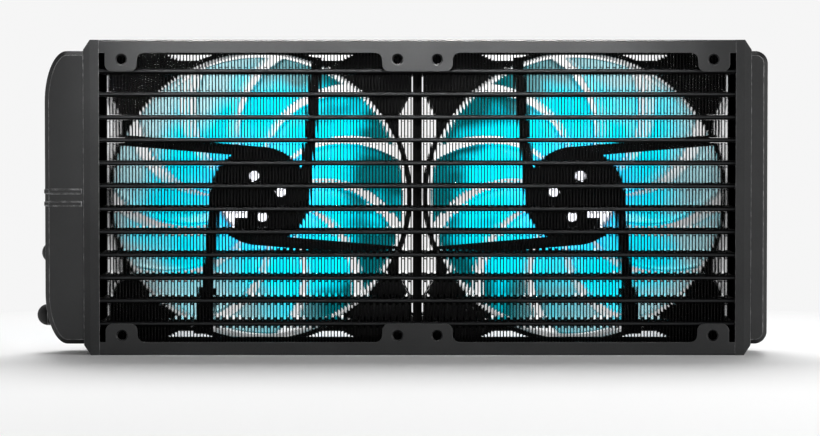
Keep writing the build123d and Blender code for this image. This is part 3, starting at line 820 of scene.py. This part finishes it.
@dataclass
class Rotor:
    """Lit rotor: a cup over the motor with swept and cambered blades round it."""

    side: Side
    cup_radius: float = 19.0 * MM
    cup_wall: float = 2.0 * MM
    cup_edge: float = 1.4 * MM
    cap_inset: float = 3.2 * MM
    cap_recess: float = 0.35 * MM
    boss_radius: float = 3.4 * MM
    boss_length: float = 3.0 * MM
    blade_count: int = 11
    root_radius: float = 18.0 * MM
    tip_radius: float = 54.5 * MM
    overrun: float = 1.2 * MM
    blade_middle: float = 25.8 * MM
    rise: tuple[float, float] = (14.0 * MM, 12.0 * MM)
    cover: tuple[float, float] = (0.86, 0.80)
    sweep: float = -34.0
    sweep_growth: float = 1.3
    camber: float = 1.8 * MM
    thickness: float = 1.4 * MM
    rim_round: float = 0.35 * MM
    stations: int = 8
    chord_cells: int = 8
    cup_sides: int = 96
    tip_sides: int = 160
    tip_depth: float = 60.0 * MM
    near: float = 0.1 * MM

    def centre(self) -> Point:
        """Point on the rotor's axis, from its joint."""
        joint = [j for j in frame["joints"] if j["name"] == f"{self.side.word}_fan_spin"][0]
        return tuple(joint["pos_m"])

    def plastic(self) -> LitPlastic:
        """Lit plastic that is centred on this rotor."""
        word = self.side.word
        low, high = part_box(f"{word}_fan_rotor")
        centre = tuple((a + b) / 2 for a, b in zip(low, high))
        return LitPlastic(f"{word}_rotor_plastic", centre, -self.side.value, self.cup_radius, self.tip_radius)

    @staticmethod
    def swing(angle: float, axis: str) -> None:
        """Turns the selection about an axis through the origin, right-handed."""
        bpy.ops.transform.rotate(value=-angle, orient_axis=axis, center_override=(0, 0, 0))

    def blade(self) -> bpy.types.Object:
        """One blade about the origin, its root towards +X and the fan's axis along Y."""
        # the grid's X goes along Z, its Y along X and its normal along Y
        turned = Matrix(((0, 1, 0), (0, 0, 1), (1, 0, 0))).to_euler()
        let_go()
        bpy.ops.mesh.primitive_grid_add(
            x_subdivisions=self.chord_cells, y_subdivisions=self.stations, size=2, rotation=turned)
        blade = fresh("blade")
        bpy.ops.object.transform_apply(location=True, rotation=True, scale=True)
        columns: dict[float, set[int]] = {}
        rows: dict[float, set[int]] = {}
        for vertex in blade.data.vertices:
            columns.setdefault(round(vertex.co.z, 4), set()).add(vertex.index)
            rows.setdefault(round(vertex.co.x, 4), set()).add(vertex.index)
        edit()
        for place, group in columns.items():
            pick(blade, "VERT", lambda v: v.index in group)
            bpy.ops.transform.translate(value=(0, self.camber * (1 - place * place), 0))
        for place, group in rows.items():
            self.set_station(blade, group, (place + 1) / 2, place)
        leave()
        self.thicken(blade)
        return blade

    def set_station(self, blade: bpy.types.Object, group: set[int], share: float, place: float) -> None:
        """Scales, pitches and sweeps one row of the blade.

        Args:
            blade: the blade in edit mode.
            group: the row's vertices.
            share: 0 at the root and 1 at the tip.
            place: X of the row before it is moved.
        """
        radius = self.root_radius + share * (self.tip_radius + self.overrun - self.root_radius)
        cover = self.cover[0] + share * (self.cover[1] - self.cover[0])
        half_width = cover * math.pi * radius / self.blade_count
        half_rise = (self.rise[0] + share * (self.rise[1] - self.rise[0])) / 2
        pick(blade, "VERT", lambda v: v.index in group)
        bpy.ops.transform.resize(value=(1, 1, math.hypot(half_width, half_rise)), center_override=(0, 0, 0))
        self.swing(math.atan2(half_rise, half_width), "X")
        bpy.ops.transform.translate(value=(radius - place, self.blade_middle, 0))
        self.swing(-math.radians(self.sweep * share**self.sweep_growth), "Y")

    def thicken(self, blade: bpy.types.Object) -> None:
        """Gives the blade its thickness and round rims, and trims it to the tip circle."""
        wall = blade.modifiers.new("wall", "SOLIDIFY")
        wall.thickness = self.thickness
        wall.offset = 0
        rims = blade.modifiers.new("rims", "BEVEL")
        rims.width = self.rim_round
        rims.segments = 2
        rims.limit_method = "ANGLE"
        rims.angle_limit = math.radians(60)
        apply_all(blade)
        let_go()
        bpy.ops.mesh.primitive_cylinder_add(
            vertices=self.tip_sides, radius=self.tip_radius, depth=self.tip_depth,
            location=(0, self.blade_middle, 0), rotation=(math.pi / 2, 0, 0))
        ring = fresh("tip_circle")
        self.combine(blade, ring, "INTERSECT")

    @staticmethod
    def combine(piece: bpy.types.Object, other: bpy.types.Object, way: str) -> None:
        """Applies a Boolean with another object, which is used up.

        Args:
            piece: object that is changed.
            other: object that it is combined with.
            way: UNION or INTERSECT.
        """
        cut = piece.modifiers.new("cut", "BOOLEAN")
        cut.object = other
        cut.operation = way
        cut.solver = "EXACT"
        apply_all(piece)
        bpy.data.objects.remove(other)

    def cup(self, front: float, rear: float) -> bpy.types.Object:
        """Cup about the origin, open towards the front.

        Args:
            front: Y of its open edge.
            rear: Y of its closed end.

        Returns:
            The cup.
        """
        let_go()
        bpy.ops.mesh.primitive_cylinder_add(
            vertices=self.cup_sides, radius=self.cup_radius, depth=rear - front,
            location=(0, (front + rear) / 2, 0), rotation=(math.pi / 2, 0, 0))
        cup = fresh("cup")
        bpy.ops.object.transform_apply(location=True, rotation=True, scale=True)
        edit()
        pick(cup, "FACE", lambda f: f.normal.y < -FACING)
        bpy.ops.mesh.inset(thickness=self.cup_wall)
        self.sink(rear - front - self.cup_wall)
        bpy.ops.mesh.inset(thickness=self.cup_radius - self.cup_wall - self.boss_radius)
        self.sink(-self.boss_length)
        pick(cup, "FACE", lambda f: f.normal.y > FACING and f.center.y > rear - self.near)
        bpy.ops.mesh.inset(thickness=self.cap_inset)
        self.sink(-self.cap_recess)
        leave()
        corner = {v.index for v in cup.data.vertices
                  if v.co.y > rear - self.near and math.hypot(v.co.x, v.co.z) > self.cup_radius - self.near}
        edit()
        pick(cup, "EDGE", lambda e: corner.issuperset(e.vertices))
        bpy.ops.mesh.bevel(offset=self.cup_edge, segments=4)
        leave()
        return cup

    @staticmethod
    def sink(depth: float) -> None:
        """Extrudes the selected face along the fan's axis."""
        bpy.ops.mesh.extrude_region_move(TRANSFORM_OT_translate={"value": (0, depth, 0)})

    def build(self, plastic: bpy.types.Material) -> bpy.types.Object:
        """Builds the rotor and puts it in place of its CAD node.

        Args:
            plastic: the lit plastic.

        Returns:
            The finished rotor.
        """
        low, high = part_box(f"{self.side.word}_fan_rotor")
        pattern = self.blade()
        blades = []
        for number in range(self.blade_count):
            blade = twin(pattern, "blade")
            blade.data.transform(Matrix.Rotation(number * math.tau / self.blade_count, 4, "Y"))
            blades.append(blade)
        bpy.data.objects.remove(pattern)
        rotor = self.cup(low[1], high[1])
        self.combine(rotor, joined("blades", blades), "UNION")
        rotor.name = rotor.data.name = f"{self.side.word}_lit_rotor"
        x, _, z = self.centre()
        mirror = -self.side.value
        rotor.data.transform(Matrix.Translation((x, 0, z)) @ Matrix.Diagonal((mirror, 1, 1, 1)))
        close_up(rotor)
        rotor.data.materials.clear()
        rotor.data.materials.append(plastic)
        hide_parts(f"{self.side.word}_fan_rotor")
        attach(rotor, f"{self.side.word}_rotor")
        LOG.info("%s: %d blades, %d faces", rotor.name, self.blade_count, len(rotor.data.polygons))
        return rotor


# ---------------------------------------------------------------- studio


@dataclass(frozen=True)
class Softbox:
    """One soft light, with its place, the point it faces, its size, power and the opening of its beam."""

    name: str
    spot: Point
    aim: Point
    size: tuple[float, float]
    power: float
    spread: float = 180.0

    def build(self) -> None:
        """Hangs the light."""
        light = bpy.data.lights.new(self.name, "AREA")
        light.shape = "RECTANGLE"
        light.size, light.size_y = self.size
        light.spread = math.radians(self.spread)
        light.energy = self.power
        lamp = bpy.data.objects.new(self.name, light)
        lamp.location = self.spot
        lamp.rotation_euler = (Vector(self.aim) - Vector(self.spot)).to_track_quat("-Z", "Y").to_euler()
        bpy.context.scene.collection.objects.link(lamp)


@dataclass
class Studio:
    """Pale floor, soft lights and the camera in front of the radiator."""

    eye_height: float = 0.085
    aim_height: float = 0.0523
    distance: float = 1.0
    side_step: float = -0.0028
    lens: float = 115.5
    paper: float = 0.92
    floor_radius: float = 4.0
    fade_centre: Point = (0.0, -0.12, 0.0)
    fade: tuple[float, float] = (0.18, 0.4)
    front_level: float = 0.33
    back_level: float = 1.6
    depth_band: tuple[float, float] = (-0.2, 0.5)
    sky_share: float = 0.3
    height_band: tuple[float, float] = (0.12, 0.5)
    lights: tuple[Softbox, ...] = (
        Softbox("top_light", (0.0, 0.60, 1.05), (0, 0, 0.02), (0.9, 0.7), power=13.8),
        Softbox("strip_light", (-0.01, -0.10, 0.33), (-0.01, -0.014, 0.124), (0.21, 0.02), power=0.17,
                spread=16.0),
        Softbox("left_light", (-1.1, -0.45, 0.20), (-0.1, 0, 0.06), (0.3, 0.3), power=1.8),
        Softbox("right_light", (1.1, -0.45, 0.30), (0.1, 0, 0.06), (0.4, 0.4), power=9.0),
    )

    def build(self) -> None:
        """Sets up the floor, the world, the lights and the camera."""
        self.floor()
        self.world()
        for light in self.lights:
            light.build()
        self.camera()
        LOG.info("studio: %d lights", len(self.lights))

    def floor(self) -> None:
        """Pale paper floor that fades into the background."""
        let_go()
        bpy.ops.mesh.primitive_circle_add(vertices=96, radius=self.floor_radius, fill_type="NGON")
        floor = fresh("floor")
        bench = Bench("pale_paper")
        length = bench.add("ShaderNodeVectorMath", operation="LENGTH")
        bench.join(bench.place(self.fade_centre), length.inputs[0])
        far = bench.level(length.outputs["Value"], 0, 1, *self.fade)
        glow = bench.add("ShaderNodeEmission")
        glow.inputs["Color"].default_value = (self.paper, self.paper, self.paper, 1)
        fibre = bench.noise(bench.place(), 0.9 * MM, 3)
        bench.join(bench.ramp(fibre, [(0.2, (0.90, 0.90, 0.90)), (0.8, (0.92, 0.92, 0.92))]),
                   bench.shader.inputs["Base Color"])
        bench.set(Roughness=0.9, Specular_IOR_Level=0.1)
        mix = bench.add("ShaderNodeMixShader")
        bench.join(far, mix.inputs[0])
        bench.join(bench.shader.outputs[0], mix.inputs[1])
        bench.join(glow.outputs[0], mix.inputs[2])
        bench.join(mix.outputs[0], bench.output.inputs["Surface"])
        dress(floor, bench.material)

    def world(self) -> None:
        """Pale surroundings that light the object most from low behind it, and look even to the camera."""
        world = bpy.data.worlds.new("pale_room")
        world.use_nodes = True
        nodes, links = world.node_tree.nodes, world.node_tree.links
        spot = nodes.new("ShaderNodeTexCoord")
        split = nodes.new("ShaderNodeSeparateXYZ")
        links.new(spot.outputs["Generated"], split.inputs[0])
        factors = []
        for axis, (start, end), (low, high) in (
                ("Y", self.depth_band, (self.front_level, self.back_level)),
                ("Z", self.height_band, (1.0, self.sky_share))):
            level = nodes.new("ShaderNodeMapRange")
            for name, value in (("From Min", start), ("From Max", end), ("To Min", low), ("To Max", high)):
                level.inputs[name].default_value = value
            links.new(split.outputs[axis], level.inputs["Value"])
            factors.append(level.outputs["Result"])
        room = nodes.new("ShaderNodeMath")
        room.operation = "MULTIPLY"
        for socket, factor in zip(room.inputs, factors):
            links.new(factor, socket)
        path = nodes.new("ShaderNodeLightPath")
        seen = nodes.new("ShaderNodeMix")
        links.new(path.outputs["Is Camera Ray"], seen.inputs["Factor"])
        links.new(room.outputs[0], seen.inputs["A"])
        seen.inputs["B"].default_value = self.paper
        links.new(seen.outputs["Result"], nodes["Background"].inputs["Strength"])
        nodes["Background"].inputs["Color"].default_value = (1, 1, 1, 1)
        bpy.context.scene.world = world

    def camera(self) -> None:
        """Camera in front of the core, a little above its middle."""
        front = CAD_BOX[0][1]
        eye = Vector((self.side_step, front - self.distance, self.eye_height))
        aim = Vector((self.side_step, front, self.aim_height))
        camera = bpy.data.cameras.new("camera")
        camera.lens = self.lens
        camera.sensor_width = 36
        camera.clip_start = 0.01
        camera.clip_end = 50
        holder = bpy.data.objects.new("camera", camera)
        holder.location = eye
        holder.rotation_euler = (aim - eye).to_track_quat("-Z", "Y").to_euler()
        bpy.context.scene.collection.objects.link(holder)
        bpy.context.scene.camera = holder


# ---------------------------------------------------------------- the whole object


@dataclass
class Finishes:
    """Every material of the radiator, made once."""

    # plate: edges lightened by wear and by a painted highlight; painted shade on its sideways faces
    plate: Coat = Coat("plate_powder_coat", (0.036, 0.0365, 0.037), (0.13, 0.13, 0.132), specular=0.22,
                       shade_away=0.75)
    # header: the pale edge colour is a painted highlight; painted shade on its inner and other sideways faces
    header: Coat = Coat("header_powder_coat", (0.046, 0.0465, 0.047), (0.45, 0.45, 0.455), specular=0.0,
                        edge_radius=0.3 * MM, shade_away=0.96)
    # tank: the pale edge colour is a painted highlight along its bevels; painted shade on its sideways faces
    tank: Coat = Coat("tank_powder_coat", (0.036, 0.0365, 0.037), (0.6, 0.6, 0.605), specular=0.25,
                      edge_radius=0.42 * MM, shade_away=0.85)
    # tube: painted highlight along the noses' crown, painted shade above and below it
    tube: NoseCoat = NoseCoat("tube_coat", (0.003, 0.003, 0.0032), (0.030, 0.031, 0.032))
    spacer: NoseCoat = NoseCoat("spacer_coat", (0.001, 0.001, 0.001), (0.002, 0.002, 0.002))
    fin: Coat = Coat("fin_wall_coat", (0.58, 0.585, 0.59), (0.6, 0.6, 0.6), roughness=0.06, metallic=1.0,
                     grain_depth=0.001 * MM, edge_radius=0.05 * MM)
    fin_edge: Coat = Coat("fin_edge_coat", (0.002, 0.002, 0.002), (0.006, 0.006, 0.006), roughness=0.5,
                          edge_radius=0.05 * MM, specular=0.06)
    rubber: Coat = Coat("plug_rubber", (0.006, 0.006, 0.006), (0.012, 0.012, 0.012), roughness=0.62,
                        specular=0.3)
    frame_plastic: Coat = Coat("frame_plastic", (0.004, 0.004, 0.0042), (0.012, 0.012, 0.012), roughness=0.32,
                               grain=0.5 * MM, specular=0.45)
    screw: Coat = Coat("screw_black_oxide", (0.02, 0.02, 0.021), (0.2, 0.2, 0.2), roughness=0.3, metallic=0.8)
    magnet: Coat = Coat("magnet_ferrite", (0.06, 0.06, 0.065), (0.12, 0.12, 0.12), roughness=0.5)
    aluminium: Turned = Turned("rolled_aluminium", (0.60, 0.61, 0.62))
    bronze: Turned = Turned("bearing_bronze", (0.55, 0.38, 0.18), roughness=0.38)
    steel: Turned = Turned("motor_steel", (0.42, 0.42, 0.43), roughness=0.35, stretch=(1.0, 30.0, 1.0))
    shaft: Turned = Turned("shaft_steel", (0.62, 0.62, 0.63), roughness=0.2)
    copper: Turned = Turned("coil_copper", (0.72, 0.30, 0.14), roughness=0.3, stretch=(1.0, 12.0, 1.0))
    # board: painted glow that stands in for the lamps' light; the board is no lamp
    board: Glow = Glow("lit_board", (0.93, 0.94, 1.0), 2.6)
    lamp: Glow = Glow("lamp_lens", (0.9, 0.96, 1.0), 3.0)
    made: dict[str, bpy.types.Material] = field(default_factory=dict)

    def get(self, name: str) -> bpy.types.Material:
        """The material of one finish, made when it is first asked for."""
        if name not in self.made:
            self.made[name] = getattr(self, name).build()
        return self.made[name]


NODE_FINISH = {
    "bottom_side_plate": "plate", "top_side_plate": "plate", "flat_tubes": "tube", "middle_spacers": "spacer",
    "left_header": "header", "right_header": "header", "inlet_tank": "tank", "return_tank": "tank",
    "tank_partition": "aluminium", "upper_port_neck": "tank", "lower_port_neck": "tank",
    "upper_port_plug": "rubber", "lower_port_plug": "rubber",
}
FAN_FINISH = {
    "fan_frame": "frame_plastic", "fan_bush": "bronze", "fan_board": "board", "fan_lamps": "lamp",
    "fan_stator": "steel", "fan_coils": "copper", "fan_screws": "screw", "fan_magnet": "magnet",
    "fan_yoke": "steel", "fan_shaft": "shaft", "fan_clip": "shaft",
}


def dress_nodes(finishes: Finishes) -> None:
    """Gives every CAD node that stays its finish.

    Args:
        finishes: the materials.
    """
    for node, finish in NODE_FINISH.items():
        dress(frame["nodes"][node], finishes.get(finish))
    for side in Side:
        for node, finish in FAN_FINISH.items():
            dress(frame["nodes"][f"{side.word}_{node}"], finishes.get(finish))
    LOG.info("finishes: %d materials", len(finishes.made))


def main() -> None:
    """Builds the pieces in order."""
    logging.basicConfig(level=logging.INFO, format="%(message)s")
    bpy.context.scene.view_settings.view_transform = "Standard"
    Studio().build()
    finishes = Finishes()
    dress_nodes(finishes)
    for side in Side:
        FinBank(side).build(finishes.get("fin"), finishes.get("fin_edge"))
        rotor = Rotor(side)
        rotor.build(rotor.plastic().build())


if __name__ == "__main__":
    main()
